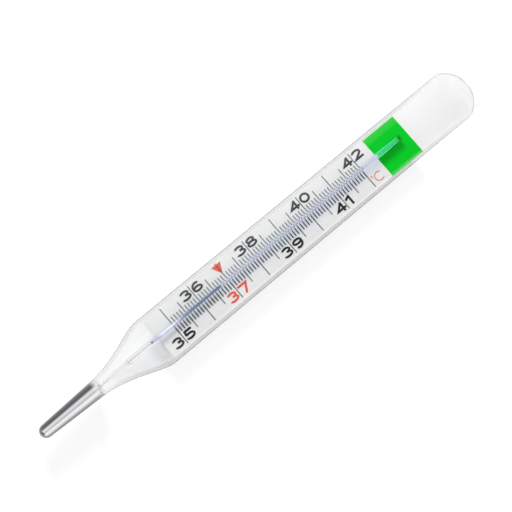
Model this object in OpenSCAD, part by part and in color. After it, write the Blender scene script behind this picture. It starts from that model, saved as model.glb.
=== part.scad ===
// Enclosed-scale clinical thermometer: a flattened glass sheath holds a scale plate and a measuring
// capillary, which rises from a metal-filled bulb through a pinched stem. It lies on its flat back,
// bulb towards -X, scale face up, and all sizes are in millimetres.

/* [Sheath] */
// Outer width of the flattened tube
sheath_w = 12.6; // [11.6:0.1:14]
// Outer thickness of the flattened tube
sheath_t = 8.4; // [7.8:0.1:9.4]
// Glass wall of the tube, the shoulder and the dome
sheath_wall = 0.5; // [0.4:0.05:0.8]
// Length of the drawn shoulder between the neck and the tube
shoulder_len = 15.8; // [11:0.2:18]
// Empty tube between the end panel and the dome
headroom = 14.1; // [8:0.1:20]
// How far the dome stands beyond the tube
dome_rise = 4.2; // [3:0.1:5.5]

/* [Bulb] */
// Length of the bulb from its tip to the weld
bulb_len = 16; // [13:0.5:20]
// Outer diameter of the bulb where its tip rounds off
bulb_tip_d = 3.1; // [2.6:0.1:3.6]
// Outer diameter of the bulb at the neck
bulb_neck_d = 4.25; // [4:0.05:5]
// Glass wall of the bulb
bulb_wall = 0.35; // [0.25:0.05:0.5]
// Thickness of the end wall that closes the bulb
bulb_end_wall = 0.4; // [0.3:0.1:1]
// Length of the fused disc between the bulb and the shoulder
weld_len = 0.5; // [0.4:0.1:1.5]
// How far the bulb lies off the tube's middle line
bulb_shift = 0.3; // [0:0.05:0.5]

/* [Capillary] */
// How far the capillary lies off the tube's middle line
capillary_shift = 0.4; // [0:0.05:0.6]
// Outer diameter of the measuring capillary
capillary_d = 1.45; // [1.2:0.05:1.8]
// Bore of the measuring capillary
bore_d = 0.42; // [0.3:0.02:0.5]
// Outer diameter of the pinched stem below the capillary
stem_d = 1; // [0.8:0.05:1.2]
// Bore of the stem and of the pinch at the capillary's foot
stem_bore_d = 0.2; // [0.16:0.02:0.26]
// Length of stem that shows between the weld and the capillary
stem_rise = 7.8; // [4:0.2:9]
// Length over which the capillary's foot narrows to the stem
foot_len = 0.8; // [0.4:0.1:1.5]
// Length of the pinch, where the capillary's bore is as fine as the stem's
pinch_len = 6.7; // [4:0.1:8]
// Distance between the droplets that stay behind in the pinch
droplet_pitch = 0.66; // [0.5:0.02:0.9]
// Length of one droplet
droplet_len = 0.34; // [0.24:0.02:0.4]
// Length of the column's rigid top, below which the thread stretches
thread_len = 2.5; // [1.8:0.1:4]
// How far the bead that seals the capillary stands out beyond its skin
bead_swell = 0.06; // [0.04:0.01:0.08]
// Diameter of the small chamber inside the bead
chamber_d = 0.8; // [0.6:0.05:1]
// Bare end panel beyond the bead
panel_bare = 1.8; // [0.6:0.1:3]

/* [Plate] */
// Thickness of the scale plate and the end panel
plate_t = 0.4; // [0.3:0.05:0.6]
// Distance from the shoulder to the lower end of the plate
plate_setback = 0.7; // [0.6:0.1:2]
// Plate below the first degree line
plate_lead = 4.4; // [4:0.1:6]
// Plate above the last degree line
plate_tail = 4.7; // [4.2:0.1:6]
// Length of the coloured end panel
panel_len = 9.4; // [8.4:0.2:12]
// Corner radius at the lower end of the plate
plate_corner_r = 0.5; // [0.3:0.1:1.2]

/* [Scale] */
// First degree line
first_degree = 35; // [34:1:36]
// Last degree line
last_degree = 42; // [41:1:43]
// Distance between two degree lines
degree_pitch = 8; // [7.6:0.1:9]
// Temperature at the top of the liquid column
reading = 36.7; // [35.2:0.1:42]
// Temperature marked by the red pointer and the red numerals
normal_degree = 37; // [36:1:41]
// How far the scale lies off the tube's middle line
scale_shift = 0.26; // [0:0.02:0.4]
// Bare plate between a degree line and the plate's nearer edge
degree_margin = 0.22; // [0.06:0.02:0.4]
// Bare plate between a half-degree line and the plate's nearer edge
half_margin = 1.65; // [1.2:0.05:2]
// Space between the tenth lines and the numerals
tenth_gap = 0.32; // [0.2:0.02:0.6]
// Width of the bold lines on the lower row
bold_line_w = 0.26; // [0.2:0.02:0.4]
// Width of the lines on the upper row
upper_line_w = 0.18; // [0.14:0.02:0.36]
// Width of the thin part of the half-degree and degree lines
thin_line_w = 0.18; // [0.12:0.02:0.24]
// Lower edge of the reading stripe, measured from the scale's middle
stripe_low = 0.2; // [0.1:0.02:0.4]
// Upper edge of the reading stripe, measured from the scale's middle
stripe_high = 0.04; // [0:0.02:0.6]
// Thickness of the printed film
ink_t = 0.04; // [0.03:0.01:0.08]

/* [Numerals] */
// Height of a numeral
numeral_size = 2.4; // [1.8:0.1:2.6]
// Width of a numeral as a share of its height
numeral_wide = 1.06; // [0.9:0.02:1.1]
// Stroke of a numeral as a share of its height
numeral_stroke = 0.22; // [0.14:0.01:0.24]
// Bare plate between the numerals and the plate's nearer edge
numeral_margin = 0.48; // [0.2:0.02:0.6]
// Space between a degree line and the numerals beside it
numeral_gap = 0.36; // [0.32:0.02:0.6]
// Stroke of the unit sign as a share of its height
unit_stroke = 0.08; // [0.06:0.01:0.14]
// Width across the top of the red pointer
pointer_w = 2.6; // [2:0.1:3]
// Bare plate between the red pointer and the plate's nearer edge
pointer_margin = 0.6; // [0.4:0.05:1]
// Space between the tenth lines and the tip of the red pointer
pointer_gap = 0.3; // [0.05:0.05:0.6]

/* [Clearances] */
// Gap between the plate's long edges and the sheath
plate_clear = 0.08; // [0.04:0.02:0.2]
// Gap between the printed film and the capillary
capillary_gap = 0.1; // [0.06:0.02:0.3]
// Gap between a liquid and the glass round it
liquid_clear = 0.03; // [0.02:0.01:0.05]
// Gap between the stem and the glass that it passes through
stem_clear = 0.03; // [0.02:0.01:0.06]
// Gap between neighbouring films of ink
ink_clear = 0.03; // [0.02:0.01:0.06]

/* [Hidden] */

$fn = 64;

// Stations along the axis, from the bulb's tip to the top of the dome
scale_len = (last_degree - first_degree) * degree_pitch;
plate_len = plate_lead + scale_len + plate_tail;
tube_len = plate_setback + plate_len + panel_len + headroom;
overall_len = bulb_len + weld_len + shoulder_len + tube_len + dome_rise;
tip_x = -overall_len / 2;
weld_x = tip_x + bulb_len;
shoulder_x = weld_x + weld_len;
tube_x = shoulder_x + shoulder_len;
dome_x = tube_x + tube_len;
plate_x = tube_x + plate_setback;
scale_x = plate_x + plate_lead;
panel_x = plate_x + plate_len;
constriction_x = shoulder_x + stem_rise;
column_foot_x = constriction_x + pinch_len;
bead_r = capillary_d / 2 + bead_swell;
bead_seat = sqrt(bead_r * bead_r - capillary_d * capillary_d / 4);
capillary_top_x = panel_x + panel_len - panel_bare - bead_r - bead_seat;
column_top_x = scale_x + (reading - first_degree) * degree_pitch;

// Heights: the bulb and the capillary lie in the tube's middle plane, with the plate below
axis_z = sheath_t / 2;
print_z = axis_z - capillary_d / 2 - capillary_gap - ink_t;
plate_z = print_z - plate_t;

// The tube's outline is a stadium: two half rounds joined by flats
outer_r = sheath_t / 2;
inner_r = outer_r - sheath_wall;
flat_half = sheath_w / 2 - outer_r;
neck_r = bulb_neck_d / 2;
drop_to_plate = axis_z - plate_z;
plate_half_w = flat_half + sqrt(inner_r * inner_r - drop_to_plate * drop_to_plate) - plate_clear;

// The bulb's hollow ends in a dome below its end wall
bulb_tip_r = bulb_tip_d / 2;
hollow_tip_r = bulb_tip_r - bulb_wall;
hollow_neck_r = neck_r - bulb_wall;
hollow_end = bulb_len - bulb_end_wall;
hollow_dome = hollow_neck_r / 2;

// The stem leaves the bulb on the bulb's own line and leans over to the capillary
stem_x = tip_x + hollow_end - hollow_dome + stem_clear;
stem_lean = capillary_shift - bulb_shift;
stem_turn = atan2(stem_lean, constriction_x - stem_x);
stem_len = norm([constriction_x - stem_x, stem_lean]) - stem_d / 2 * abs(tan(stem_turn));
fine_r = stem_bore_d / 2 - liquid_clear;

// The rigid top of the column slides, and the thread below it stretches to follow
thread_r = bore_d / 2 - liquid_clear;
thread_x = column_top_x - thread_len;

// The print: numerals keep to the plate's edge, and the tenth lines fill what is left inside them
print_half_w = plate_half_w - scale_shift;
numeral_offset = print_half_w - numeral_margin - numeral_size / 2;
tenth_reach = numeral_offset - numeral_size / 2 - tenth_gap;
line_reach = [tenth_reach, print_half_w - half_margin, print_half_w - degree_margin];
tenths = 10;
half_step = 5;
line_count = (last_degree - first_degree) * tenths;
arc_steps = 20;

// Facets of the lofted glass
ring_sides = 40;
shoulder_rings = 14;
dome_rings = 8;

// The shoulder leaves the neck at a slope, opens late and keeps to the bulb's line until it is nearly open
neck_slope = 0.9;
shoulder_lag = 0.5;
shift_hold = 6;

// Turns a shape drawn along +Z so that it lies along +X at station x, y off the tube's middle line
module along_axis(x, y = 0) {
    translate([x, y, axis_z]) rotate([0, 90, 0]) children();
}

// The same along the leaning stem
module along_stem() {
    translate([stem_x, bulb_shift, axis_z]) rotate([0, 0, stem_turn]) rotate([0, 90, 0]) children();
}

// A flat shape in the plane of the print, one film thick, drawn about the scale's middle
module printed() {
    translate([0, scale_shift, print_z]) linear_extrude(ink_t) children();
}

module stadium(half, r) {
    for (side = [-1, 1]) translate([0, side * half]) circle(r);
    square([2 * r, 2 * half], center = true);
}

// Lofted glass

function ring(x, half, r, y = 0) = [
    for (i = [0:ring_sides - 1])
        let (a = (i + 0.5) * 360 / ring_sides)
            [x, y + sign(cos(a)) * half + r * cos(a), axis_z + r * sin(a)]
];

// Triangles of the band between ring number a and ring number b
function band(a, b) = [
    for (i = [0:ring_sides - 1])
        let (j = (i + 1) % ring_sides, p = a * ring_sides, q = b * ring_sides)
            each [[p + i, q + i, q + j], [p + i, q + j, p + j]]
];

// Triangles that close the last ring with a point
function crown(a, tip) = [
    for (i = [0:ring_sides - 1]) [a * ring_sides + i, tip, a * ring_sides + (i + 1) % ring_sides]
];

function flipped(faces) = [for (f = faces) [f[2], f[1], f[0]]];

// How far the shoulder has opened at share u of its length
function opening(u) =
    let (v = u * (1 - shoulder_lag * (1 - u)))
        3 * v * v - 2 * v * v * v + neck_slope * (v * v * v - 2 * v * v + v);

// How far the shoulder lies off the tube's middle line there, without passing the tube's side
function shoulder_shift(u) =
    min((1 - pow(u, shift_hold)) * bulb_shift, (1 - opening(u)) * (sheath_w / 2 - neck_r));

function shoulder_ring(u, wall) =
    let (open = opening(u), r = neck_r + open * (outer_r - neck_r))
        ring(shoulder_x + u * shoulder_len, open * flat_half, r - wall, shoulder_shift(u));

module sheath_tube() {
    color("lightcyan", 0.35)
        along_axis(tube_x) linear_extrude(tube_len) difference() {
            stadium(flat_half, outer_r);
            stadium(flat_half, inner_r);
        }
}

module sheath_shoulder() {
    outer = [for (i = [0:shoulder_rings]) each shoulder_ring(i / shoulder_rings, 0)];
    inner = [for (i = [0:shoulder_rings]) each shoulder_ring(i / shoulder_rings, sheath_wall)];
    first_inner = shoulder_rings + 1;
    skin = [for (i = [0:shoulder_rings - 1]) each band(i, i + 1)];
    lining = [for (i = [0:shoulder_rings - 1]) each band(first_inner + i, first_inner + i + 1)];
    ends = concat(flipped(band(0, first_inner)), band(shoulder_rings, first_inner + shoulder_rings));
    color("lightcyan", 0.35)
        polyhedron(concat(outer, inner), concat(skin, flipped(lining), ends), convexity = 6);
}

// Rings of a dome whose outline is one arc over the tube's width
function dome_shell(wall) =
    let (half_w = sheath_w / 2 - wall, rise = dome_rise - wall,
         arc_r = (half_w * half_w + rise * rise) / (2 * rise), edge = acos((arc_r - rise) / arc_r))
        [for (i = [0:dome_rings - 1])
            let (a = edge * (1 - i / dome_rings), share = arc_r * sin(a) / half_w,
                 x = dome_x + arc_r * (cos(a) - cos(edge)))
                each ring(x, share * flat_half, share * (outer_r - wall))];

module end_dome() {
    outer = dome_shell(0);
    inner = dome_shell(sheath_wall);
    tips = [[dome_x + dome_rise, 0, axis_z], [dome_x + dome_rise - sheath_wall, 0, axis_z]];
    first_tip = 2 * dome_rings * ring_sides;
    skin = [for (i = [0:dome_rings - 2]) each band(i, i + 1)];
    lining = [for (i = [0:dome_rings - 2]) each band(dome_rings + i, dome_rings + i + 1)];
    crowns = concat(crown(dome_rings - 1, first_tip), flipped(crown(2 * dome_rings - 1, first_tip + 1)));
    color("lightcyan", 0.35)
        polyhedron(
            concat(outer, inner, tips),
            concat(skin, flipped(lining), crowns, flipped(band(0, dome_rings))),
            convexity = 6
        );
}

// Bulb

// Half outline of a tapered finger with a round tip and a shallow domed end, turned about its axis
module finger(x, tip_r, end_r, len, dome) {
    dome_steps = 12;
    tip_steps = 12;
    tip_arc = [for (i = [0:tip_steps]) let (a = 90 * i / tip_steps) [tip_r * sin(a), tip_r * (1 - cos(a))]];
    end_arc = [for (i = [0:dome_steps]) let (a = 90 * i / dome_steps)
        [end_r * cos(a), len - dome + dome * sin(a)]];
    along_axis(x, bulb_shift) rotate_extrude() polygon(concat(tip_arc, end_arc));
}

module bulb_glass() {
    color("lightcyan", 0.35)
        difference() {
            finger(tip_x, bulb_tip_r, neck_r, bulb_len, 0);
            finger(tip_x + bulb_wall, hollow_tip_r, hollow_neck_r, hollow_end - bulb_wall, hollow_dome);
            stem_hole();
        }
}

module bulb_liquid() {
    c = liquid_clear;
    color("silver")
        difference() {
            finger(tip_x + bulb_wall + c, hollow_tip_r - c, hollow_neck_r - c,
                   hollow_end - bulb_wall - 2 * c, hollow_dome);
            stem_hole();
        }
}

module neck_weld() {
    color("lightcyan", 0.5)
        difference() {
            along_axis(weld_x, bulb_shift) cylinder(h = weld_len, r = neck_r);
            stem_hole();
        }
}

// Stem and capillary

// The way that the bulb's end and the weld leave for the stem
module stem_hole() {
    along_stem() translate([0, 0, -stem_clear]) cylinder(h = stem_len, r = stem_d / 2 + stem_clear);
}

module constriction_stem() {
    color("lightcyan", 0.5)
        along_stem() difference() {
            cylinder(h = stem_len, r = stem_d / 2);
            translate([0, 0, -stem_d]) cylinder(h = stem_len + 2 * stem_d, r = stem_bore_d / 2);
        }
}

module stem_liquid() {
    color("silver") along_stem() cylinder(h = stem_len, r = fine_r);
}

module capillary_tube() {
    len = capillary_top_x - constriction_x;
    color("lightcyan", 0.5)
        along_axis(constriction_x, capillary_shift) difference() {
            union() {
                cylinder(h = foot_len, r1 = stem_d / 2, r2 = capillary_d / 2);
                translate([0, 0, foot_len]) cylinder(h = len - foot_len, r = capillary_d / 2);
            }
            translate([0, 0, -bore_d]) cylinder(h = len, r = stem_bore_d / 2);
            translate([0, 0, pinch_len]) cylinder(h = len, r = bore_d / 2);
        }
}

module pinch_droplets() {
    count = floor(pinch_len / droplet_pitch);
    color("slategray")
        for (i = [0:count - 1]) along_axis(constriction_x + (i + 0.5) * droplet_pitch, capillary_shift)
            cylinder(h = droplet_len, r = fine_r, center = true);
}

module capillary_bead() {
    color("lightcyan", 0.5)
        along_axis(capillary_top_x, capillary_shift) difference() {
            translate([0, 0, bead_seat]) sphere(bead_r);
            translate([0, 0, -2 * bead_r]) cylinder(h = 2 * bead_r, r = 2 * bead_r);
            translate([0, 0, bead_seat]) sphere(chamber_d / 2);
            translate([0, 0, -bore_d]) cylinder(h = bead_seat + bore_d, r = bore_d / 2);
        }
}

module feed_thread() {
    color("slategray")
        along_axis(column_foot_x, capillary_shift) {
            translate([0, 0, thread_r]) cylinder(h = thread_x - column_foot_x - thread_r, r = thread_r);
            translate([0, 0, thread_r]) sphere(thread_r);
        }
}

module column_thread() {
    color("slategray")
        along_axis(thread_x, capillary_shift) {
            cylinder(h = thread_len - thread_r, r = thread_r);
            translate([0, 0, thread_len - thread_r]) sphere(thread_r);
        }
}

// Plate

module scale_plate() {
    r = plate_corner_r;
    color("whitesmoke")
        translate([plate_x, 0, plate_z]) linear_extrude(plate_t) {
            translate([r, -plate_half_w]) square([plate_len - r, 2 * plate_half_w]);
            translate([0, r - plate_half_w]) square([2 * r, 2 * (plate_half_w - r)]);
            for (side = [-1, 1]) translate([r, side * (plate_half_w - r)]) circle(r);
        }
}

module end_panel() {
    color("limegreen")
        translate([panel_x, -plate_half_w, plate_z]) cube([panel_len, 2 * plate_half_w, plate_t]);
}

module reading_stripe() {
    color("lightsteelblue")
        printed() translate([plate_x, -stripe_low]) square([plate_len, stripe_low + stripe_high]);
}

// Print

function degree_x(degree) = scale_x + (degree - first_degree) * degree_pitch;

// 2 on a degree line, 1 on a half-degree line and 0 on a tenth
function rank(i) = i % tenths == 0 ? 2 : i % half_step == 0 ? 1 : 0;

// One line of a row: a short bold bar, which a thin line carries on to its full reach
module scale_line(start, reach, bold_w) {
    translate([-bold_w / 2, start]) square([bold_w, tenth_reach - start]);
    if (reach > tenth_reach) translate([-thin_line_w / 2, start]) square([thin_line_w, reach - start]);
}

module graduation_lines() {
    color("black") printed() for (i = [0:line_count]) {
        x = scale_x + i * degree_pitch / tenths;
        reach = line_reach[rank(i)];
        translate([x, 0]) scale_line(stripe_high + ink_clear, reach, upper_line_w);
        translate([x, 0]) mirror([0, 1]) scale_line(stripe_low + ink_clear, reach, bold_line_w);
    }
}

// Numerals drawn in a cell one high and one wide, which stroke, bow and loop then widen

function arc(middle, radii, from, to) = [
    for (i = [0:arc_steps])
        let (a = from + (to - from) * i / arc_steps)
            [middle[0] + radii[0] * cos(a), middle[1] + radii[1] * sin(a)]
];

function unit(v) = v / norm(v);

// Sideways direction at point i of a path, stretched at a corner so that the stroke keeps its width
function sideways(path, i) =
    let (last = len(path) - 1, before = unit(path[max(i, 1)] - path[max(i, 1) - 1]),
         after = unit(path[min(i + 1, last)] - path[min(i + 1, last) - 1]), mean = unit(before + after))
        [-mean[1], mean[0]] / (mean * after);

function widened(p) = [p[0] * numeral_wide, p[1]];

module stroke(cell_path, w) {
    path = [for (p = cell_path) widened(p)];
    left = [for (i = [0:len(path) - 1]) path[i] + sideways(path, i) * w / 2];
    right = [for (i = [len(path) - 1:-1:0]) path[i] - sideways(path, i) * w / 2];
    polygon(concat(left, right));
}

// Part of an oval ring between two turns
module bow(middle, radii, from, to, w) {
    bold = [w, w] / 2;
    outer = arc(widened(middle), widened(radii) + bold, from, to);
    inner = arc(widened(middle), widened(radii) - bold, to, from);
    polygon(concat(outer, inner));
}

module loop(middle, radii, w) {
    bold = [w, w] / 2;
    full = 360 - 360 / (arc_steps + 1);
    difference() {
        polygon(arc(widened(middle), widened(radii) + bold, 0, full));
        polygon(arc(widened(middle), widened(radii) - bold, 0, full));
    }
}

module digit(d, w) {
    if (d == 0) loop([0.5, 0.5], [0.4, 0.4], w);
    if (d == 1) stroke([[0.02, 0.71], [0.47, 0.92], [0.47, 0]], w);
    if (d == 2) {
        bow([0.5, 0.67], [0.39, 0.23], 168, -36, w);
        stroke([[0.83, 0.55], [0.16, 0.1], [1, 0.1]], w);
    }
    if (d == 3) {
        bow([0.48, 0.7], [0.37, 0.2], 160, -90, w);
        bow([0.46, 0.31], [0.43, 0.21], 90, -158, w);
    }
    if (d == 4) {
        stroke([[0.75, 0], [0.75, 1]], w);
        stroke([[0.75, 0.9], [0.14, 0.3], [1.05, 0.3]], w);
    }
    if (d == 5) {
        stroke([[0.92, 0.9], [0.22, 0.9], [0.15, 0.46]], w);
        bow([0.46, 0.33], [0.43, 0.23], 140, -158, w);
    }
    if (d == 6) {
        bow([0.53, 0.48], [0.42, 0.42], 50, 200, w);
        loop([0.5, 0.31], [0.4, 0.21], w);
    }
    if (d == 7) stroke([[0, 0.9], [0.92, 0.9], [0.4, 0]], w);
    if (d == 8) {
        loop([0.5, 0.71], [0.35, 0.19], w);
        loop([0.5, 0.31], [0.41, 0.21], w);
    }
    if (d == 9) translate([numeral_wide, 1]) rotate(180) digit(6, w);
}

// Even degrees are labelled above the capillary and odd ones below
function label_side(degree) = degree % 2 == 0 ? 1 : -1;

// The two numerals of a degree, one on each side of its line
module degree_label(degree) {
    translate([degree_x(degree), label_side(degree) * numeral_offset - numeral_size / 2]) {
        translate([-numeral_gap - numeral_size * numeral_wide, 0])
            scale(numeral_size) digit(floor(degree / 10), numeral_stroke);
        translate([numeral_gap, 0])
            scale(numeral_size) digit(degree % 10, numeral_stroke);
    }
}

module black_numerals() {
    color("black") printed()
        for (degree = [first_degree:last_degree]) if (degree != normal_degree) degree_label(degree);
}

// The unit sign stands below the scale's end: a small ring and a capital C
module unit_sign() {
    translate([degree_x(last_degree) + numeral_gap, -numeral_offset - numeral_size / 2])
        scale(numeral_size) {
            loop([0.15, 0.86], [0.1, 0.1], unit_stroke / 2);
            bow([0.78, 0.5], [0.45, 0.44], 48, 312, unit_stroke);
        }
}

module red_numerals() {
    color("tomato") printed() {
        degree_label(normal_degree);
        unit_sign();
    }
}

// The pointer's two halves stand beside the normal degree's line, across from its numerals
module normal_pointer() {
    inner = thin_line_w / 2 + ink_clear;
    foot = tenth_reach + pointer_gap;
    top = print_half_w - pointer_margin;
    flip = label_side(normal_degree) > 0 ? 1 : 0;
    color("tomato") printed() translate([degree_x(normal_degree), 0]) mirror([0, flip])
        for (half = [0, 1]) mirror([half, 0])
            polygon([[inner, foot], [inner, top], [pointer_w / 2, top]]);
}

sheath_tube();
sheath_shoulder();
end_dome();
neck_weld();
bulb_glass();
bulb_liquid();
constriction_stem();
stem_liquid();
capillary_tube();
capillary_bead();
pinch_droplets();
feed_thread();
column_thread();
scale_plate();
end_panel();
reading_stripe();
graduation_lines();
black_numerals();
red_numerals();
normal_pointer();
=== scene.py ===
"""Looks of the enclosed-scale clinical thermometer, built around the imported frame. Lengths are in metres."""
import math

import bpy
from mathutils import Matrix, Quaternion, Vector


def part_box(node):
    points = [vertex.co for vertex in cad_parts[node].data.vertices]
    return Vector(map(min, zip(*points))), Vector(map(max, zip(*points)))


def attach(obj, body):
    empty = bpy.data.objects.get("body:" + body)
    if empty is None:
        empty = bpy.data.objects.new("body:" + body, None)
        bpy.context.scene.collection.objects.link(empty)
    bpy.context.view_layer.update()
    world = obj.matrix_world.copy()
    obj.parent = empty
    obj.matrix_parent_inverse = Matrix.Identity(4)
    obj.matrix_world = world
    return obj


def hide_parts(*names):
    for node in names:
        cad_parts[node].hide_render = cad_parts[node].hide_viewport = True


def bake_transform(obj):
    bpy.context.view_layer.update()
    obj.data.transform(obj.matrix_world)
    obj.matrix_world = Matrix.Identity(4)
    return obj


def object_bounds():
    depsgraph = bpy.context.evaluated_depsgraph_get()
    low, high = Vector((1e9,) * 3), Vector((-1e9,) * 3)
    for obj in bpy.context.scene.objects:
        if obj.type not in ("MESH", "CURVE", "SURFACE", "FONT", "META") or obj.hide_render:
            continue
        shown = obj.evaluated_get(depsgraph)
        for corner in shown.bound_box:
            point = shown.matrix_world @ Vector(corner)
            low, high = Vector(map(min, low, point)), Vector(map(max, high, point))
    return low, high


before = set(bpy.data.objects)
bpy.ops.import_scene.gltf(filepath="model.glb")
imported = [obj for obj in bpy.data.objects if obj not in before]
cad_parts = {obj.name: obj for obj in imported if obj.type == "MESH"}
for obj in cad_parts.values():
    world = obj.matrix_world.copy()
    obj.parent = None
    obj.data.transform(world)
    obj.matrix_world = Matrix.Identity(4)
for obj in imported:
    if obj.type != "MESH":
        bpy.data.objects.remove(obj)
cad_low, cad_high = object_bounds()

MM = 0.001

# Stations and sizes that the frame gives

tube_low, tube_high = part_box("sheath_tube")
bulb_low, bulb_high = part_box("bulb_glass")
weld_low, weld_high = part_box("neck_weld")
capillary_low, capillary_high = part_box("capillary_tube")
bead_low, bead_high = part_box("capillary_bead")
panel_low, panel_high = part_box("end_panel")

AXIS_Z = (tube_low.z + tube_high.z) / 2
OUTER_R = (tube_high.z - tube_low.z) / 2
FLAT_HALF = tube_high.y - OUTER_R
NECK_R = (weld_high.z - weld_low.z) / 2
TIP_X = bulb_low.x
WELD_X = bulb_high.x
SHOULDER_X = weld_high.x
TUBE_X = tube_low.x
DOME_X = tube_high.x
TOP_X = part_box("end_dome")[1].x
BULB_Y = (bulb_low.y + bulb_high.y) / 2
LIQUID_END_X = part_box("bulb_liquid")[1].x
CAPILLARY_X = capillary_low.x
CAPILLARY_Y = (capillary_low.y + capillary_high.y) / 2
CAPILLARY_R = (capillary_high.z - capillary_low.z) / 2
BEAD_X = capillary_high.x
BEAD_END_X = bead_high.x
BEAD_R = (bead_high.z - bead_low.z) / 2
BEAD_MIDDLE_X = BEAD_END_X - BEAD_R
COLUMN_FOOT_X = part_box("feed_thread")[0].x
COLUMN_TOP_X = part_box("column_thread")[1].x
PANEL_X = panel_low.x
PANEL_END_X = panel_high.x

# Sizes that the frame doesn't show from outside

SHEATH_WALL = 0.5 * MM
BULB_WALL = 0.35 * MM
BULB_TIP_R = 1.55 * MM
# How steeply the shoulder leaves the neck, how late it opens and how long it keeps to the bulb's line
NECK_SLOPE = 0.9
SHOULDER_LAG = 0.5
SHIFT_HOLD = 6
# The dome's corners, and the shallow cup inside the neck above its floor
CORNER_R = 1.5 * MM
CUP_DEPTH = 0.1 * MM
NECK_FLOOR = 0.03 * MM
STEM_R = 0.5 * MM
STEM_BORE_R = 0.1 * MM
# The stem roots in the neck's floor, and its bore starts past that
STEM_X = WELD_X + NECK_FLOOR / 2
STEM_MOUTH_X = STEM_X + STEM_BORE_R
BORE_R = 0.21 * MM
CHAMBER_R = 0.4 * MM
# The capillary swells from the stem's radius to its own over this length
FOOT_LEN = 0.8 * MM
DROPLETS = 10
DROPLET_LEN = 0.34 * MM
# How far the end of the bulb's liquid bulges
LIQUID_DOME = 0.6 * MM
# Air left between the bulb's liquid and its glass
LIQUID_GAP = 0.01 * MM
# A thread of liquid fills its bore: its skin lies this far inside the glass
THREAD_WET = 0.004 * MM

# Facets: sides round a skin, and steps along a stretch of it

SIDES = 112
CAPILLARY_SIDES = 64
THREAD_SIDES = 32
ROUND_STEPS = 16
COLUMN_ROUND_STEPS = 8
SMALL_ROUND_STEPS = 6
SHOULDER_STEPS = 28
TUBE_STEPS = 18
CORNER_STEPS = 8
ARC_STEPS = 20
CONE_STEPS = 40
STEM_STEPS = 10
STEM_THREAD_STEPS = 12
FOOT_STEPS = 6
CAPILLARY_STEPS = 16
BEAD_STEPS = 16
CHAMBER_STEPS = 14
COLUMN_STEPS = 60


# Mesh helpers


def steps(count):
    """Shares from 0 to 1 in that many steps."""
    return [i / count for i in range(count + 1)]


def between(low, high, count):
    """Places from low to high in that many steps."""
    return [low + (high - low) * u for u in steps(count)]


def eased(u):
    """A share that starts and ends level."""
    return 3 * u * u - 2 * u ** 3


def circle(x, r, y):
    """A round station of a skin; every station is (x, half of its flat, radius, y of its middle)."""
    return (x, 0.0, r, y)


def arc(x, r, angles, y):
    """Round stations on a ball about x, by their angles from +X."""
    return [circle(x + r * math.cos(a), r * math.sin(a), y) for a in angles]


def round_start(x, r, depth, y, count=ROUND_STEPS):
    """Stations of a rounded end that opens along +X from a pole at x to radius r."""
    quarter = between(0, math.pi / 2, count)
    return [circle(x + depth * (1 - math.cos(a)), r * math.sin(a), y) for a in quarter]


def round_end(x, r, depth, y, count=ROUND_STEPS):
    """Stations of a rounded end that closes along +X from radius r to a pole at x."""
    return [(2 * x - s[0], *s[1:]) for s in reversed(round_start(x, r, depth, y, count))]


def ring(station, sides):
    """Points round a station: two half rounds joined by flats, or a circle where its flat is 0."""
    x, half, r, y = station
    points = []
    for i in range(sides):
        a = (i + 0.5) * math.tau / sides
        aside = math.copysign(half, math.cos(a)) + r * math.cos(a)
        points.append((x, y + aside, AXIS_Z + r * math.sin(a)))
    return points


def loft(stations, sides=SIDES, inward=False):
    """A closed skin through stations, whose first and last are poles with radius 0."""
    first, *rings, last = stations
    verts = [p for station in rings for p in ring(station, sides)]
    start = len(verts)
    verts += [(x, y, AXIS_Z) for x, _, _, y in (first, last)]
    faces = []
    top = start - sides
    for i in range(sides):
        j = (i + 1) % sides
        faces.append((start, j, i))
        faces.append((start + 1, top + i, top + j))
        for p in range(0, top, sides):
            q = p + sides
            faces.append((p + i, p + j, q + j, q + i))
    if inward:
        faces = [tuple(reversed(f)) for f in faces]
    return verts, faces


def add_piece(name, skins, material):
    """One object from closed skins, smooth, with its material."""
    verts, faces = [], []
    for skin_verts, skin_faces in skins:
        base = len(verts)
        verts.extend(skin_verts)
        faces.extend(tuple(base + i for i in f) for f in skin_faces)
    mesh = bpy.data.meshes.new(name)
    mesh.from_pydata(verts, [], faces)
    mesh.validate()
    mesh.shade_smooth()
    mesh.materials.append(material)
    piece = bpy.data.objects.new(name, mesh)
    bpy.context.scene.collection.objects.link(piece)
    return piece


# Node helpers


def srgb(*levels):
    """A colour of eight-bit display values as linear RGBA."""
    shares = [level / 255 for level in levels]
    linear = [c / 12.92 if c <= 0.04045 else ((c + 0.055) / 1.055) ** 2.4 for c in shares]
    return (*linear, 1.0)


def grey(g):
    """A linear grey as RGBA."""
    return (g, g, g, 1.0)


def greys(stops):
    """Stops of a ramp whose colours are given as greys."""
    return [(place, grey(g)) for place, g in stops]


def emptied(owner):
    """The node tree of a material or world, with nothing in it."""
    owner.use_nodes = True
    owner.node_tree.nodes.clear()
    return owner.node_tree


def new_material(name):
    """A material, its tree and the shader that its look is set on."""
    material = bpy.data.materials.new(name)
    tree = emptied(material)
    return material, tree, tree.nodes.new("ShaderNodeBsdfPrincipled")


def surface(tree, shader, kind="Material"):
    """Ends a tree in that shader."""
    output = tree.nodes.new("ShaderNodeOutput" + kind)
    tree.links.new(shader, output.inputs["Surface"])


def feed(tree, entry, value):
    """Gives a node's input a socket's value or a fixed one."""
    if isinstance(value, bpy.types.NodeSocket):
        tree.links.new(value, entry)
    else:
        entry.default_value = value


def maths(tree, operation, *values):
    """A maths node, whose inputs are sockets or numbers."""
    node = tree.nodes.new("ShaderNodeMath")
    node.operation = operation
    for entry, value in zip(node.inputs, values):
        feed(tree, entry, value)
    return node.outputs["Value"]


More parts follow.
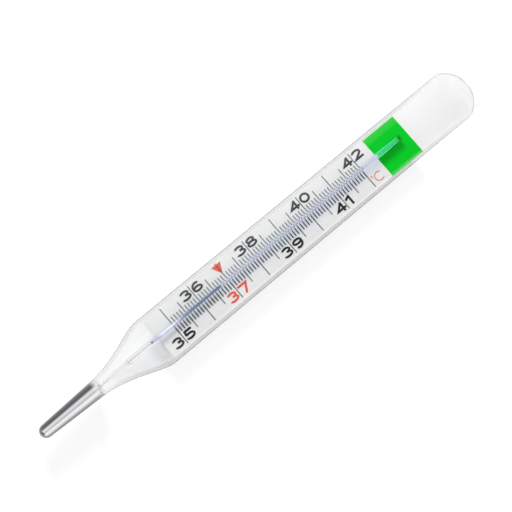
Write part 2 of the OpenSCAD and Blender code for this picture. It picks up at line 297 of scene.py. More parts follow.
def mix(tree, factor, first, second, kind="RGBA", blend="MIX"):
    """The first colour or number turns into the second by a factor; each is a socket or fixed."""
    node = tree.nodes.new("ShaderNodeMix")
    node.data_type = kind
    node.blend_type = blend
    for name, value in (("Factor", factor), ("A", first), ("B", second)):
        feed(tree, node.inputs[name], value)
    return node.outputs["Result"]


def mix_shaders(tree, factor, first, second):
    """The first shader turns into the second by a factor."""
    node = tree.nodes.new("ShaderNodeMixShader")
    for entry, socket in zip(node.inputs, (factor, first, second)):
        tree.links.new(socket, entry)
    return node.outputs["Shader"]


def map_range(tree, value, low, high, to_low=0.0, to_high=1.0):
    """Maps a span of values onto another one, and holds to its ends outside."""
    node = tree.nodes.new("ShaderNodeMapRange")
    for name, number in (("From Min", low), ("From Max", high), ("To Min", to_low), ("To Max", to_high)):
        node.inputs[name].default_value = number
    tree.links.new(value, node.inputs["Value"])
    return node.outputs["Result"]


def ramp(tree, factor, stops):
    """A colour ramp through (share, colour) stops."""
    node = tree.nodes.new("ShaderNodeValToRGB")
    elements = node.color_ramp.elements
    while len(elements) < len(stops):
        elements.new(1.0)
    for element, (share, colour) in zip(elements, stops):
        element.position = share
        element.color = colour
    tree.links.new(factor, node.inputs["Fac"])
    return node.outputs["Color"]


def graded(tree, value, stops):
    """A colour by a value, through (value, colour) stops."""
    low, high = stops[0][0], stops[-1][0]
    shares = [((place - low) / (high - low), colour) for place, colour in stops]
    return ramp(tree, map_range(tree, value, low, high), shares)


def axis(tree, name, space="Object"):
    """Where a point lies along an axis of the part, or how far a direction of the world points along it."""
    coords = tree.nodes.new("ShaderNodeTexCoord")
    split = tree.nodes.new("ShaderNodeSeparateXYZ")
    tree.links.new(coords.outputs[space], split.inputs["Vector"])
    return split.outputs[name]


def along(tree, low, high):
    """Where a point lies along X, as a share of the way from low to high."""
    return map_range(tree, axis(tree, "X"), low, high)


def across(tree, stops):
    """A grey across the scale; stops are (offset to +Y of the capillary, grey)."""
    return graded(tree, axis(tree, "Y"), [(CAPILLARY_Y + y, grey(g)) for y, g in stops])


def noise(tree, grain, stretch=(1, 1, 1), detail=3.0):
    """Noise in the part's own coordinates; its grain counts features in a metre."""
    coords = tree.nodes.new("ShaderNodeTexCoord")
    mapping = tree.nodes.new("ShaderNodeMapping")
    mapping.inputs["Scale"].default_value = stretch
    texture = tree.nodes.new("ShaderNodeTexNoise")
    texture.inputs["Scale"].default_value = grain
    texture.inputs["Detail"].default_value = detail
    tree.links.new(coords.outputs["Object"], mapping.inputs["Vector"])
    tree.links.new(mapping.outputs["Vector"], texture.inputs["Vector"])
    return texture.outputs["Fac"]


def bump(tree, shader, height, depth):
    """Raises a shader's surface by a height between 0 and 1, times a depth."""
    node = tree.nodes.new("ShaderNodeBump")
    node.inputs["Distance"].default_value = depth
    tree.links.new(height, node.inputs["Height"])
    tree.links.new(node.outputs["Normal"], shader.inputs["Normal"])


# Materials

# Most of a noise lies between these
NOISE_SPAN = (0.3, 0.7)

# Glass: handling marks, streaks from drawing it, and painted shade on its rim by how far it turns from the
# eye, for its dark outlines
GLASS_IOR = 1.47
MARK_GRAIN = 260
MARK_STRETCH = (0.5, 1, 1)
MARK_ROUGH = (0.0, 0.02)
STREAK_GRAIN = 320
STREAK_STRETCH = (0.05, 1, 1)
STREAK_DETAIL = 1.0
STREAK_DEPTH = 0.0005 * MM
RIM_START = 0.45
RIM_FULL = 0.7
SHEATH_TINT = srgb(253, 253, 253)
# Painted shade on the sheath's rim
SHEATH_RIM_SHADE = srgb(202, 204, 205)
DOME_TINT = srgb(250, 250, 250)
# The weld greys the neck this far
NECK_TINT = srgb(236, 236, 237)
NECK_FADE = 1.0 * MM
# Painted shade across the shoulder's glass, darker on its lower side: the share of light left by offset, and
# how far that holds along it
SHOULDER_PAINTED_SHADE = [(-3.2 * MM, 0.91), (-1.5 * MM, 0.955), (0.2 * MM, 0.985), (0.9 * MM, 1.0)]
SHOULDER_SPAN = [(0.0, 0.2), (0.3, 1.0), (0.65, 1.0), (1.0, 0.3)]
CAPILLARY_TINT = srgb(248, 249, 253)
# Painted shade on the capillary's rim
CAPILLARY_RIM_SHADE = srgb(236, 239, 248)
CAPILLARY_FOOT_TINT = srgb(245, 243, 240)
# Painted light: the capillary's glass takes on the panel's green and then the bead's dark green over this
# length, for what it shows of them; it reflects in them too
PANEL_PAINTED_LIGHT = srgb(184, 255, 228)
BEAD_PAINTED_SHADE = srgb(18, 210, 54)
TINT_STEP = 0.25 * MM
# Light that the shadows keep: the liquid's glow in the capillary's fades this far round the column's top
SHEATH_SHADOW = grey(0.975)
COLUMN_SHADOW = (0.868, 0.9, 0.985, 1)
CAPILLARY_SHADOW = (0.83, 0.862, 0.943, 1)
SHADOW_FADE = 1.0 * MM

# Liquid metal: a thin film that dulls it in places
FILM_GRAIN = 420
THREAD_FILM_GRAIN = 900
FILM_STRETCH = (0.3, 1, 1)
FILM_START = 0.35
FILM_FULL = 0.75
BULB_ROUGH = (0.04, 0.08)
LIQUID_ROUGH = (0.04, 0.1)
THREAD_ROUGH = (0.06, 0.14)
COAT_ROUGH = 0.02
# The bulb's glass is silvered as far as the liquid lies against it, and pales round the weld
SILVER_FADE = 1.3 * MM
SILVER_PAST = 0.6 * MM
# How much of the column's look is mirror; the rest is painted light, for the light scattered round it by the
# capillary
THREAD_MIRROR = 0.3
# Painted light and shade: the column's colour by the distance from its foot, for the highlights and shade that
# the capillary's lens shows on it
COLUMN_PAINTED_LIGHT = [
    (0.0, srgb(20, 20, 26)),
    (0.25 * MM, srgb(60, 60, 90)),
    (0.6 * MM, srgb(190, 192, 230)),
    (2.0 * MM, srgb(198, 201, 234)),
    (3.2 * MM, srgb(246, 246, 249)),
    (6.2 * MM, srgb(246, 247, 250)),
    (7.8 * MM, srgb(206, 211, 220)),
    (9.6 * MM, srgb(142, 151, 170)),
    (11.8 * MM, srgb(118, 129, 151)),
    (COLUMN_TOP_X - COLUMN_FOOT_X, srgb(112, 121, 149)),
]

# Paint and ink: a drift in roughness, and a fine grain that is a multiple of the coat's own
PAINT_GLOSS = 0.02
PAINT_DRIFT = 0.08
FINE_GRAINS = 12
FINE_DETAIL = 2.0
FINE_DEPTH = 0.002 * MM
# Painted shadow: the panel is darkest under the capillary's lower side, for the capillary's shadow. Painted
# light: the print is blacker below the capillary, and the lighter print above it stands for the glass's
# reflection over it
PANEL_PAINTED_SHADOW = [(-3.3 * MM, 1.0), (-2.7 * MM, 0.86), (-2.0 * MM, 0.68), (-0.6 * MM, 0.62), (0.2 * MM, 1.0)]
PRINT_PAINTED_LIGHT = [(-0.5 * MM, 0.42), (0.5 * MM, 1.0)]
# Painted highlight: a pale mint line on the panel behind the bore, for the capillary's highlight over the
# green; it fades towards the bead and at its edges
HIGHLIGHT_FADE = 0.5 * MM
HIGHLIGHT_BAND = [(-0.45 * MM, 0.0), (-0.3 * MM, 1.0), (0.15 * MM, 1.0), (0.3 * MM, 0.0)]


def roughen(tree, shader, texture, span):
    """Gives a shader a roughness that drifts over a span with a noise."""
    tree.links.new(map_range(tree, texture, *NOISE_SPAN, *span), shader.inputs["Roughness"])


def rimmed(tree, tint, rim_shade):
    """Glass with painted shade where it turns away from the eye, for its dark outlines."""
    facing = tree.nodes.new("ShaderNodeLayerWeight")
    return ramp(tree, facing.outputs["Facing"], [(RIM_START, tint), (RIM_FULL, rim_shade)])


def sheath_colour(tree):
    """The sheath greys a little towards its dome and its weld, and carries painted shade along the shoulder's
    lower side.
    """
    colour = rimmed(tree, SHEATH_TINT, SHEATH_RIM_SHADE)
    colour = mix(tree, along(tree, PANEL_END_X, DOME_X), colour, DOME_TINT)
    colour = mix(tree, along(tree, WELD_X + NECK_FADE, WELD_X), colour, NECK_TINT)
    # Painted shade along the shoulder's lower side
    span = ramp(tree, along(tree, SHOULDER_X, TUBE_X), greys(SHOULDER_SPAN))
    return mix(tree, span, colour, across(tree, SHOULDER_PAINTED_SHADE), blend="MULTIPLY")


def capillary_colour(tree):
    """Painted light: the capillary takes on the colours it shows of what lies behind it along the scale."""
    colour = rimmed(tree, CAPILLARY_TINT, CAPILLARY_RIM_SHADE)
    colour = mix(tree, along(tree, COLUMN_FOOT_X, CAPILLARY_X), colour, CAPILLARY_FOOT_TINT)
    # Painted light: the panel's green and the bead's dark green in the capillary's glass
    colour = mix(tree, along(tree, PANEL_X, PANEL_X + TINT_STEP), colour, PANEL_PAINTED_LIGHT)
    return mix(tree, along(tree, BEAD_X - TINT_STEP, BEAD_X), colour, BEAD_PAINTED_SHADE)


def glass(name, colour_of, painted_reflection, shadow, far_shadow):
    """Drawn glass: streaks along its length, handling marks in its gloss and a light shadow.

    colour_of makes its colour in the material's tree; with painted_reflection, its reflections take that
    colour too, as painted reflection. Its shadow keeps one share of the light as far as the column reaches at
    rest, and another past that.
    """
    material, tree, shader = new_material(name)
    colour = colour_of(tree)
    tree.links.new(colour, shader.inputs["Base Color"])
    # Painted reflection: the reflections take the glass's colour
    if painted_reflection:
        tree.links.new(colour, shader.inputs["Specular Tint"])
    shader.inputs["Transmission Weight"].default_value = 1.0
    shader.inputs["IOR"].default_value = GLASS_IOR
    roughen(tree, shader, noise(tree, MARK_GRAIN, MARK_STRETCH), MARK_ROUGH)
    bump(tree, shader, noise(tree, STREAK_GRAIN, STREAK_STRETCH, STREAK_DETAIL), STREAK_DEPTH)

    clear = tree.nodes.new("ShaderNodeBsdfTransparent")
    shadows = [(COLUMN_TOP_X - SHADOW_FADE, shadow), (COLUMN_TOP_X + SHADOW_FADE, far_shadow)]
    tree.links.new(graded(tree, axis(tree, "X"), shadows), clear.inputs["Color"])
    path = tree.nodes.new("ShaderNodeLightPath").outputs
    lit = shader.outputs["BSDF"]
    for kind in ("Is Diffuse Ray", "Is Shadow Ray"):
        lit = mix_shaders(tree, path[kind], lit, clear.outputs["BSDF"])
    surface(tree, lit)
    return material


def filmed(tree, film, bright, dull):
    """The metal's colour under its film."""
    return ramp(tree, film, [(FILM_START, bright), (FILM_FULL, dull)])


def silvered(name, bright, dull, pale):
    """Glass with liquid metal right behind it: the metal's mirror under a clear coat, paling at its end."""
    material, tree, shader = new_material(name)
    shader.inputs["Coat Weight"].default_value = 1.0
    shader.inputs["Coat IOR"].default_value = GLASS_IOR
    shader.inputs["Coat Roughness"].default_value = COAT_ROUGH
    film = noise(tree, FILM_GRAIN, FILM_STRETCH)
    fade = along(tree, WELD_X - SILVER_FADE, WELD_X + SILVER_PAST)
    tree.links.new(mix(tree, fade, filmed(tree, film, bright, dull), pale), shader.inputs["Base Color"])
    tree.links.new(maths(tree, "SUBTRACT", 1.0, fade), shader.inputs["Metallic"])
    roughen(tree, shader, film, BULB_ROUGH)
    surface(tree, shader.outputs["BSDF"])
    return material


def liquid(name, bright, dull, mirror):
    """Liquid metal with a thin film; a fine thread mirrors less than the bulb."""
    material, tree, shader = new_material(name)
    shader.inputs["Metallic"].default_value = mirror
    film = noise(tree, FILM_GRAIN, FILM_STRETCH)
    tree.links.new(filmed(tree, film, bright, dull), shader.inputs["Base Color"])
    roughen(tree, shader, film, LIQUID_ROUGH)
    surface(tree, shader.outputs["BSDF"])
    return material


def column_liquid(name):
    """The column's liquid, whose colour changes along the tube as painted light and shade."""
    material, tree, shader = new_material(name)
    shader.inputs["Metallic"].default_value = THREAD_MIRROR
    # Painted light and shade along the column
    stops = [(COLUMN_FOOT_X + x, colour) for x, colour in COLUMN_PAINTED_LIGHT]
    colour = graded(tree, axis(tree, "X"), stops)
    tree.links.new(colour, shader.inputs["Base Color"])
    tree.links.new(colour, shader.inputs["Specular Tint"])
    roughen(tree, shader, noise(tree, THREAD_FILM_GRAIN, FILM_STRETCH), THREAD_ROUGH)
    surface(tree, shader.outputs["BSDF"])
    return material


def painted(name, base, worn, grain, roughness, painted_shade=None, painted_highlight=None):
    """An even coat whose colour and roughness drift a little.

    It may carry painted shade in bands across the scale, and a painted highlight line of another colour along
    the bore.
    """
    material, tree, shader = new_material(name)
    drift = noise(tree, grain)
    colour = ramp(tree, drift, list(zip(NOISE_SPAN, (base, worn))))
    # Painted shade: darker in bands across the scale
    if painted_shade:
        reach = along(tree, BEAD_END_X, BEAD_X)
        colour = mix(tree, reach, colour, across(tree, painted_shade), blend="MULTIPLY")
    # Painted highlight: a line of another colour along the bore
    if painted_highlight:
        reach = along(tree, BEAD_X, BEAD_X - HIGHLIGHT_FADE)
        colour = mix(tree, maths(tree, "MULTIPLY", across(tree, HIGHLIGHT_BAND), reach), colour, painted_highlight)
    tree.links.new(colour, shader.inputs["Base Color"])
    roughen(tree, shader, drift, (roughness - PAINT_DRIFT, roughness + PAINT_DRIFT))
    shader.inputs["Specular IOR Level"].default_value = PAINT_GLOSS
    bump(tree, shader, noise(tree, grain * FINE_GRAINS, detail=FINE_DETAIL), FINE_DEPTH)
    surface(tree, shader.outputs["BSDF"])
    return material


SHEATH_GLASS = glass("drawn_sheath_glass", sheath_colour, False, SHEATH_SHADOW, SHEATH_SHADOW)
CAPILLARY_GLASS = glass("capillary_glass", capillary_colour, True, COLUMN_SHADOW, CAPILLARY_SHADOW)
BULB_METAL = liquid("bulb_liquid_metal", srgb(226, 227, 229), srgb(208, 210, 214), mirror=1.0)
BULB_GLASS = silvered("bulb_silvered_glass", srgb(236, 236, 238), srgb(228, 229, 232), srgb(238, 239, 241))
STEM_METAL = liquid("stem_liquid_metal", srgb(250, 250, 251), srgb(244, 245, 246), mirror=0.0)
DROPLET_METAL = liquid("droplet_liquid_metal", srgb(170, 172, 177), srgb(146, 148, 154), mirror=0.1)
COLUMN_METAL = column_liquid("column_liquid_metal")
ENAMEL = painted("plate_enamel", srgb(232, 233, 233), srgb(227, 228, 228), grain=120, roughness=0.45)
# The panel carries a painted shadow under the capillary and a painted highlight line behind the bore
GREEN = painted(
    "panel_green", srgb(0, 202, 43), srgb(0, 197, 26), grain=160, roughness=0.4,
    painted_shade=PANEL_PAINTED_SHADOW, painted_highlight=srgb(70, 240, 160),
)
STRIPE = painted("stripe_ink", srgb(226, 231, 242), srgb(220, 225, 239), grain=300, roughness=0.5)
# Painted light: the print is darker below the capillary and lighter above it, for the glass's reflection over
# the upper rows
BLACK = painted(
    "black_ink", srgb(66, 70, 72), srgb(75, 78, 79), grain=900, roughness=0.5,
    painted_shade=PRINT_PAINTED_LIGHT,
)
RED = painted("red_ink", srgb(231, 90, 68), srgb(225, 100, 80), grain=900, roughness=0.5)


# The sheath is one fused skin of glass round its hollow, and so is the bulb


def opening(u):
    """How far the shoulder has opened at share u of its length."""
    v = u * (1 - SHOULDER_LAG * (1 - u))
    return eased(v) + NECK_SLOPE * (v ** 3 - 2 * v * v + v)


def shoulder(wall):
    """Stations of the shoulder, which keeps to the bulb's line without passing the tube's side."""
    stations = []
    for u in steps(SHOULDER_STEPS):
        share = opening(u)
        x = SHOULDER_X + u * (TUBE_X - SHOULDER_X)
        r = NECK_R + share * (OUTER_R - NECK_R) - wall
        room = (1 - share) * (FLAT_HALF + OUTER_R - NECK_R)
        stations.append((x, share * FLAT_HALF, r, min((1 - u ** SHIFT_HOLD) * BULB_Y, room)))
    return stations


def dome(wall):
    """An arc over the tube's width, eased into its sides by a small corner."""
    half_w = FLAT_HALF + OUTER_R - wall
    rise = TOP_X - DOME_X - wall
    corner = CORNER_R - wall / 2
    arc_r = (half_w ** 2 + rise ** 2) / (2 * rise)
    middle = TOP_X - wall - arc_r
    corner_y = half_w - corner
    corner_x = middle + math.sqrt((arc_r - corner) ** 2 - corner_y ** 2)
    meet = math.atan2(corner_y, corner_x - middle)
    outline = []
    for a in between(math.pi / 2, meet, CORNER_STEPS):
        outline.append((corner_x + corner * math.cos(a), corner_y + corner * math.sin(a)))
    for a in between(meet, 0, ARC_STEPS)[1:]:
        outline.append((middle + arc_r * math.cos(a), arc_r * math.sin(a)))
    return [(x, w / half_w * FLAT_HALF, w / half_w * (OUTER_R - wall), 0.0) for x, w in outline]


def tube(wall, dome_start):
    """Stations along the tube between the shoulder and the dome, without those two."""
    return [(x, FLAT_HALF, OUTER_R - wall, 0.0) for x in between(TUBE_X, dome_start, TUBE_STEPS)[1:-1]]


def bulb_tip(wall):
    """Stations of the bulb's round tip."""
    r = BULB_TIP_R - wall
    return round_start(TIP_X + wall, r, r, BULB_Y)


def bulb_taper(wall):
    """Stations of the bulb's cone after its round tip."""
    xs = between(TIP_X + BULB_TIP_R, WELD_X, CONE_STEPS)
    radii = between(BULB_TIP_R, NECK_R, CONE_STEPS)
    return [circle(x, r - wall, BULB_Y) for x, r in zip(xs, radii)][1:]


def bulb_hollow(wall):
    """Stations of the bulb's hollow behind a wall, with a round tip and a shallow domed end."""
    end = LIQUID_END_X + BULB_WALL - wall
    cone = [s for s in bulb_taper(wall) if s[0] < end - LIQUID_DOME]
    end_r = cone[-1][2]
    return bulb_tip(wall) + cone + round_end(end, end_r, LIQUID_DOME, BULB_Y)[1:]


def add_glass_envelope():
    """The sheath with its fused neck, from the bulb's end to the dome."""
    outer_dome, inner_dome = dome(0), dome(SHEATH_WALL)
    outer = [circle(WELD_X, 0.0, BULB_Y), circle(WELD_X, NECK_R, BULB_Y)]
    outer += shoulder(0) + tube(0, outer_dome[0][0]) + outer_dome
    lining = shoulder(SHEATH_WALL)
    inner = round_start(WELD_X + NECK_FLOOR, lining[0][2], CUP_DEPTH, BULB_Y, SMALL_ROUND_STEPS)
    inner += lining + tube(SHEATH_WALL, inner_dome[0][0]) + inner_dome
    piece = add_piece("glass_envelope", [loft(outer), loft(inner, inward=True)], SHEATH_GLASS)
    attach(piece, "thermometer")
    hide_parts("sheath_tube", "sheath_shoulder", "end_dome", "neck_weld")


def add_bulb_glass():
    """The bulb's thin glass round its hollow, up to the neck."""
    outer = bulb_tip(0) + bulb_taper(0) + [circle(WELD_X, 0.0, BULB_Y)]
    skins = [loft(outer), loft(bulb_hollow(BULB_WALL), inward=True)]
    piece = add_piece("bulb_glass_skin", skins, BULB_GLASS)
    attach(piece, "thermometer")
    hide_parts("bulb_glass")


def add_bulb_liquid():
    """The liquid that fills the bulb's hollow."""
    piece = add_piece("bulb_metal", [loft(bulb_hollow(BULB_WALL + LIQUID_GAP))], BULB_METAL)
    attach(piece, "thermometer")
    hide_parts("bulb_liquid")


# The stem, the capillary and the threads of liquid in them


def stem_circle(x, r):
    """A station of the stem, which leans over from the bulb's line to the capillary's."""
    share = (x - LIQUID_END_X) / (CAPILLARY_X - LIQUID_END_X)
    return circle(x, r, BULB_Y + (CAPILLARY_Y - BULB_Y) * min(max(share, 0.0), 1.0))


def capillary_outside():
    """Stations of the stem, the capillary's foot and length, and its bead."""
    stations = [stem_circle(STEM_X, 0.0)]
    stations += [stem_circle(x, STEM_R) for x in between(STEM_X, CAPILLARY_X, STEM_STEPS)]
    for u in steps(FOOT_STEPS)[1:]:
        r = STEM_R + (CAPILLARY_R - STEM_R) * eased(u)
        stations.append(circle(CAPILLARY_X + FOOT_LEN * u, r, CAPILLARY_Y))
    length = between(CAPILLARY_X + FOOT_LEN, BEAD_X, CAPILLARY_STEPS)[1:]
    stations += [circle(x, CAPILLARY_R, CAPILLARY_Y) for x in length]
    seat = math.pi - math.asin(CAPILLARY_R / BEAD_R)
    return stations + arc(BEAD_MIDDLE_X, BEAD_R, between(seat, 0, BEAD_STEPS)[1:], CAPILLARY_Y)


def capillary_bore():
    """Stations of the stem's bore, the column's wider bore and the chamber in the bead."""
    stations = [stem_circle(STEM_MOUTH_X, 0.0), stem_circle(STEM_MOUTH_X, STEM_BORE_R)]
    stations += [stem_circle(x, STEM_BORE_R) for x in between(STEM_X, CAPILLARY_X, STEM_STEPS)[1:]]
    stations.append(circle(COLUMN_FOOT_X - BORE_R, STEM_BORE_R, CAPILLARY_Y))
    stations.append(circle(COLUMN_FOOT_X, BORE_R, CAPILLARY_Y))
    mouth = math.pi - math.asin(BORE_R / CHAMBER_R)
    return stations + arc(BEAD_MIDDLE_X, CHAMBER_R, between(mouth, 0, CHAMBER_STEPS), CAPILLARY_Y)


def add_capillary():
    """The stem, the capillary and its bead, drawn from one piece of glass."""
    skins = [loft(capillary_outside(), CAPILLARY_SIDES), loft(capillary_bore(), THREAD_SIDES, inward=True)]
    piece = add_piece("capillary_glass", skins, CAPILLARY_GLASS)
    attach(piece, "thermometer")
    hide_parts("constriction_stem", "capillary_tube", "capillary_bead")


def add_stem_thread():
    """The fine thread of liquid in the stem."""
    r = STEM_BORE_R + THREAD_WET
    start = STEM_MOUTH_X - THREAD_WET
    stations = [stem_circle(start, 0.0)]
    stations += [stem_circle(x, r) for x in between(start, CAPILLARY_X, STEM_THREAD_STEPS)]
    stations += round_end(CAPILLARY_X + r, r, r, CAPILLARY_Y, SMALL_ROUND_STEPS)[1:]
    piece = add_piece("stem_thread", [loft(stations, THREAD_SIDES)], STEM_METAL)
    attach(piece, "thermometer")
    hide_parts("stem_liquid")


def add_droplets():
    """The droplets of liquid that stay behind in the pinch."""
    r = STEM_BORE_R + THREAD_WET
    pitch = (COLUMN_FOOT_X - CAPILLARY_X) / DROPLETS
    skins = []
    for i in range(DROPLETS):
        start = CAPILLARY_X + (i + 0.5) * pitch - DROPLET_LEN / 2
        stations = round_start(start, r, r, CAPILLARY_Y, SMALL_ROUND_STEPS)
        stations += round_end(start + DROPLET_LEN, r, r, CAPILLARY_Y, SMALL_ROUND_STEPS)
        skins.append(loft(stations, THREAD_SIDES))
    piece = add_piece("pinch_beads", skins, DROPLET_METAL)
    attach(piece, "thermometer")
    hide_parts("pinch_droplets")


def add_column():
    """The liquid column, one thread that stretches from its foot to the reading."""
    r = BORE_R + THREAD_WET
    length = between(COLUMN_FOOT_X + r, COLUMN_TOP_X - r, COLUMN_STEPS)[1:-1]
    stations = round_start(COLUMN_FOOT_X, r, r, CAPILLARY_Y, COLUMN_ROUND_STEPS)
    stations += [circle(x, r, CAPILLARY_Y) for x in length]
    stations += round_end(COLUMN_TOP_X, r, r, CAPILLARY_Y, COLUMN_ROUND_STEPS)
    piece = add_piece("liquid_column", [loft(stations, THREAD_SIDES)], COLUMN_METAL)
    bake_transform(piece)
    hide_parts("feed_thread", "column_thread")


# The plate and its print keep their shapes from the frame


def coat_nodes():
    """Gives the plate and each kind of print its coat."""
    coats = {
        "scale_plate": ENAMEL,
        "end_panel": GREEN,
        "reading_stripe": STRIPE,
        "graduation_lines": BLACK,
        "black_numerals": BLACK,
        "red_numerals": RED,
        "normal_pointer": RED,
    }
    for node, material in coats.items():
        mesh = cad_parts[node].data
        mesh.materials.clear()
        mesh.materials.append(material)


# Stage

CAMERA_AZIMUTH = -62.14
CAMERA_ELEVATION = 78.15
CAMERA_ROLL = 21.99
CAMERA_DISTANCE = 0.30627
CAMERA_LENS = 95.97
SENSOR = 36.0
CLIP_START = 0.01
CLIP_END = 20
AIM = Vector((-1.29, 0.49, 4.2)) * MM
FLOOR_SIZE = 3.0
FLOOR_GAP = 0.05 * MM
# Own colour and added white for other rays, camera rays, reflections and rays through glass
FLOOR_ALBEDO = (0.4, 0.22, 0.27, 0.63)
FLOOR_LIFT = (0.0, 0.79, 0.07, 0.4)
# Painted light and shade on the floor as the bulb mirrors it: share of the floor's light by Y, less on the
# studio's dark side
FLOOR_PAINTED_SIDES = [(-9.0 * MM, 1.2), (-6.5 * MM, 1.0), (9.0 * MM, 1.0), (11.5 * MM, 0.6)]
# That holds beside the bulb, and fades out between these
FLOOR_SIDES_X = (WELD_X - 5.0 * MM, WELD_X + 5.5 * MM)
KEY_FROM = Vector((0.39, 0.78, 0.49))
KEY_DISTANCE = 0.7
KEY_SIZE = 0.2
KEY_POWER = 4.6
KEY_COLOUR = (1.0, 0.985, 0.965)
WORLD_STRENGTH = 1.0
# The studio's brightness by how far a direction points to +Y, its dark side
STUDIO_GREYS = [
    (-1.0, 0.82), (-0.96, 0.84), (-0.9, 1.0), (-0.78, 1.09), (-0.68, 1.05), (-0.58, 0.97), (-0.48, 0.78),
    (-0.37, 0.57), (-0.27, 0.55), (-0.2, 0.68), (-0.13, 0.77), (0.0, 0.83), (0.11, 0.85), (0.23, 0.9),
    (0.35, 0.95), (0.46, 0.8), (0.57, 0.48), (0.67, 0.24), (0.77, 0.17), (0.92, 0.145), (1.0, 0.135),
]
# A dark card keeps the glass over the scale free of reflections: its middle and half width by X
CARD_X = 0.27
CARD_HALF = 0.2
CARD_EDGE = 0.04
CARD_GREY = 0.06
# The card ends between these, towards +Y
CARD_FAR_Y = (0.42, 0.8)
# The studio's dark far end, by X: the bulb's tip mirrors it
FAR_END_X = (-0.94, -0.74)
FAR_END_GREY = 0.1
# What reflections inside the sheath see of the studio, and what those inside the capillary see
SHEATH_LIGHT = (0.76, 0.82, 0.87, 1)
CAPILLARY_LIGHT = (1.22, 1.32, 1.4, 1)
# A ray comes from inside the sheath, or from inside the capillary, past this many faces of glass
SHEATH_FACES = 1.5
CAPILLARY_FACES = 2.5
# A ray with fewer mirrors than this on its way has come straight
MIRRORS = 0.5


def add_camera():
    """The camera at the photo's angle."""
    azimuth, elevation = math.radians(CAMERA_AZIMUTH), math.radians(CAMERA_ELEVATION)
    level = math.cos(elevation)
    back = Vector((math.sin(azimuth) * level, -math.cos(azimuth) * level, math.sin(elevation)))
    data = bpy.data.cameras.new("camera")
    data.sensor_width = SENSOR
    data.lens = CAMERA_LENS
    data.clip_start = CLIP_START
    data.clip_end = CLIP_END
    camera = bpy.data.objects.new("camera", data)
    camera.location = AIM + back * CAMERA_DISTANCE
    roll = Quaternion((0, 0, 1), math.radians(CAMERA_ROLL))
    camera.rotation_euler = ((-back).to_track_quat("-Z", "Y") @ roll).to_euler()
    bpy.context.scene.collection.objects.link(camera)
    bpy.context.scene.camera = camera


def by_ray(tree, path, values):
    """A value by the kind of ray: the first for any other ray, then camera, glossy and through glass."""
    other = values[0]
    total = other
    kinds = ("Is Camera Ray", "Is Glossy Ray", "Is Transmission Ray")
    for kind, value in zip(kinds, values[1:]):
        total = maths(tree, "MULTIPLY_ADD", path[kind], value - other, total)
    return total


def mirrored_share(tree, path):
    """Painted light and shade: share of the floor's light by Y in reflections beside the bulb, and all of it
    elsewhere.
    """
    # Painted shade on the floor's +Y side, and painted light on its −Y side, in reflections
    change = maths(tree, "SUBTRACT", graded(tree, axis(tree, "Y"), greys(FLOOR_PAINTED_SIDES)), 1.0)
    beside = maths(tree, "MULTIPLY", along(tree, *reversed(FLOOR_SIDES_X)), change)
    return maths(tree, "MULTIPLY_ADD", path["Is Glossy Ray"], beside, 1.0)


def floor_white(name):
    """A pale coat: a share of its white is its own colour, so that shadows show on it."""
    material = bpy.data.materials.new(name)
    tree = emptied(material)
    path = tree.nodes.new("ShaderNodeLightPath").outputs
    matte = tree.nodes.new("ShaderNodeBsdfDiffuse")
    glow = tree.nodes.new("ShaderNodeEmission")
    both = tree.nodes.new("ShaderNodeAddShader")
    share = mirrored_share(tree, path)
    for values, entry in ((FLOOR_ALBEDO, matte.inputs["Color"]), (FLOOR_LIFT, glow.inputs["Strength"])):
        tree.links.new(maths(tree, "MULTIPLY", by_ray(tree, path, values), share), entry)
    tree.links.new(matte.outputs["BSDF"], both.inputs[0])
    tree.links.new(glow.outputs["Emission"], both.inputs[1])
    surface(tree, both.outputs["Shader"])
    return material


def add_floor():
    """A square of pale floor just under the part."""
    half = FLOOR_SIZE / 2
    z = cad_low.z - FLOOR_GAP
    mesh = bpy.data.meshes.new("floor")
    corners = [(-half, -half, z), (half, -half, z), (half, half, z), (-half, half, z)]
    mesh.from_pydata(corners, [], [(0, 1, 2, 3)])
    mesh.materials.append(floor_white("floor_white"))
    floor = bpy.data.objects.new("floor", mesh)
    bpy.context.scene.collection.objects.link(floor)


def studio_darks(tree):
    """Share of the studio's light that its dark card and its dark far end leave."""
    x, y = axis(tree, "X", "Generated"), axis(tree, "Y", "Generated")
    away = maths(tree, "ABSOLUTE", maths(tree, "SUBTRACT", x, CARD_X))
    card = map_range(tree, away, CARD_HALF - CARD_EDGE, CARD_HALF + CARD_EDGE, CARD_GREY)
    past_card = map_range(tree, y, *CARD_FAR_Y)
    far_end = map_range(tree, x, *FAR_END_X, FAR_END_GREY)
    return maths(tree, "MULTIPLY", maths(tree, "MAXIMUM", card, past_card), far_end)


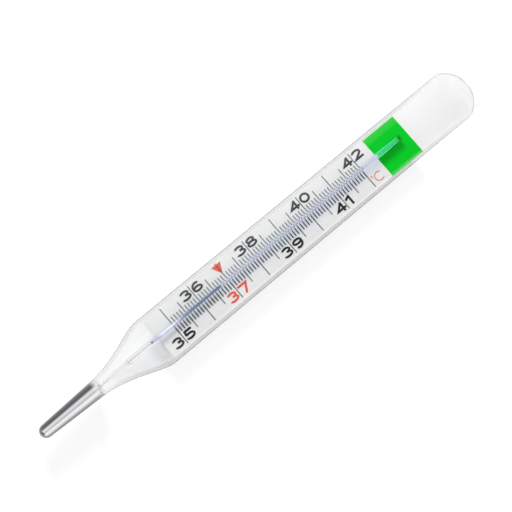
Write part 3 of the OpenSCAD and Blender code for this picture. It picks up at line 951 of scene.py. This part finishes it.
def add_world():
    """A studio that is plain white to the camera, straight or through glass.

    Reflections see its greys by Y and its dark places, and those inside the glass a light of their own.
    """
    world = bpy.data.worlds.new("studio")
    bpy.context.scene.world = world
    tree = emptied(world)
    path = tree.nodes.new("ShaderNodeLightPath").outputs
    mirrored = maths(tree, "ADD", path["Is Glossy Ray"], path["Is Transmission Ray"])
    inside = maths(tree, "GREATER_THAN", path["Transmission Depth"], SHEATH_FACES)
    shallow = maths(tree, "LESS_THAN", path["Transmission Depth"], CAPILLARY_FACES)

    studio = tree.nodes.new("ShaderNodeBackground")
    flagged = maths(tree, "MULTIPLY", mirrored, shallow)
    strength = mix(tree, flagged, WORLD_STRENGTH, studio_darks(tree), kind="FLOAT")
    tree.links.new(strength, studio.inputs["Strength"])
    outer = graded(tree, axis(tree, "Y", "Generated"), greys(STUDIO_GREYS))
    inner = mix(tree, shallow, CAPILLARY_LIGHT, SHEATH_LIGHT)
    enclosed = maths(tree, "MULTIPLY", mirrored, inside)
    tree.links.new(mix(tree, enclosed, outer, inner), studio.inputs["Color"])

    plain = tree.nodes.new("ShaderNodeBackground")
    plain.inputs["Color"].default_value = grey(1.0)
    straight = maths(tree, "LESS_THAN", path["Glossy Depth"], MIRRORS)
    seen = maths(tree, "MULTIPLY_ADD", path["Is Transmission Ray"], straight, path["Is Camera Ray"])
    shader = mix_shaders(tree, seen, studio.outputs["Background"], plain.outputs["Background"])
    surface(tree, shader, "World")


def add_key():
    """A soft disc of light from the +Y side, which shows neither in reflections nor through glass."""
    data = bpy.data.lights.new("key", "AREA")
    data.shape = "DISK"
    data.size = KEY_SIZE
    data.energy = KEY_POWER
    data.color = KEY_COLOUR
    key = bpy.data.objects.new("key", data)
    towards = KEY_FROM.normalized()
    key.location = towards * KEY_DISTANCE
    key.rotation_euler = towards.to_track_quat("Z", "Y").to_euler()
    key.visible_glossy = False
    key.visible_transmission = False
    bpy.context.scene.collection.objects.link(key)


add_camera()
add_floor()
add_world()
add_key()
add_glass_envelope()
add_bulb_glass()
add_bulb_liquid()
add_capillary()
add_stem_thread()
add_droplets()
add_column()
coat_nodes()

bpy.context.scene.view_settings.view_transform = "Standard"
